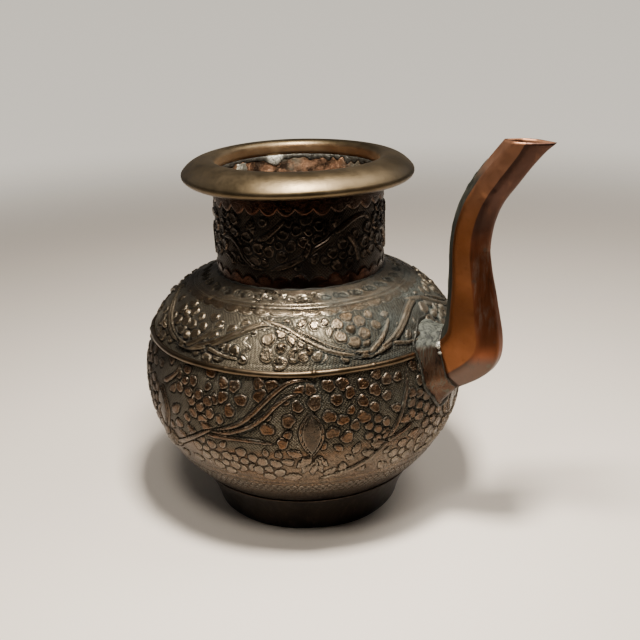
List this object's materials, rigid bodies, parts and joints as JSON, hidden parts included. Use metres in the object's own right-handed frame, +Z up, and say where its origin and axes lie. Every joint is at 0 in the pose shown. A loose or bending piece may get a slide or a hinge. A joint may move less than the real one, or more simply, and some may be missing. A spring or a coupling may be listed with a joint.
{
  "type": "spouted water jug",
  "caption": "Round-bellied spouted water jug of chased sheet copper, with a straight neck, broad turned rim, ring foot and faceted bent spout.",
  "frame": {"origin": "centre of the foot ring's flat bottom face, on the jug's axis", "axes": "+Z up along the jug's axis; +X from the axis towards the spout; +Y completes the right-handed frame"},
  "size_m": [0.2182, 0.1658, 0.2007],
  "materials": {
    "dark_copper": "chased copper with a dark brown patina, worn brighter on the raised work",
    "black_copper": "near-black patinated copper, satin",
    "rim_bronze": "golden-brown bronze, satin, worn smooth",
    "spout_copper": "smooth orange-brown copper, hammered flat facets, satin",
    "solder": "dull grey-green tarnished solder, lumpy"
  },
  "bodies": {
    "root": {"foot_ring": "black_copper", "foot_solder": "solder", "bowl": "dark_copper", "girdle_wire": "dark_copper", "girdle_solder": "solder", "shoulder": "dark_copper", "neck": "dark_copper", "neck_seam_solder": "solder", "neck_solder": "solder", "rim_ring": "rim_bronze", "rim_solder": "solder", "spout_socket": "dark_copper", "socket_solder": "solder", "spout": "spout_copper", "spout_seam_solder": "solder", "spout_solder": "solder"}
  },
  "joints": []
}
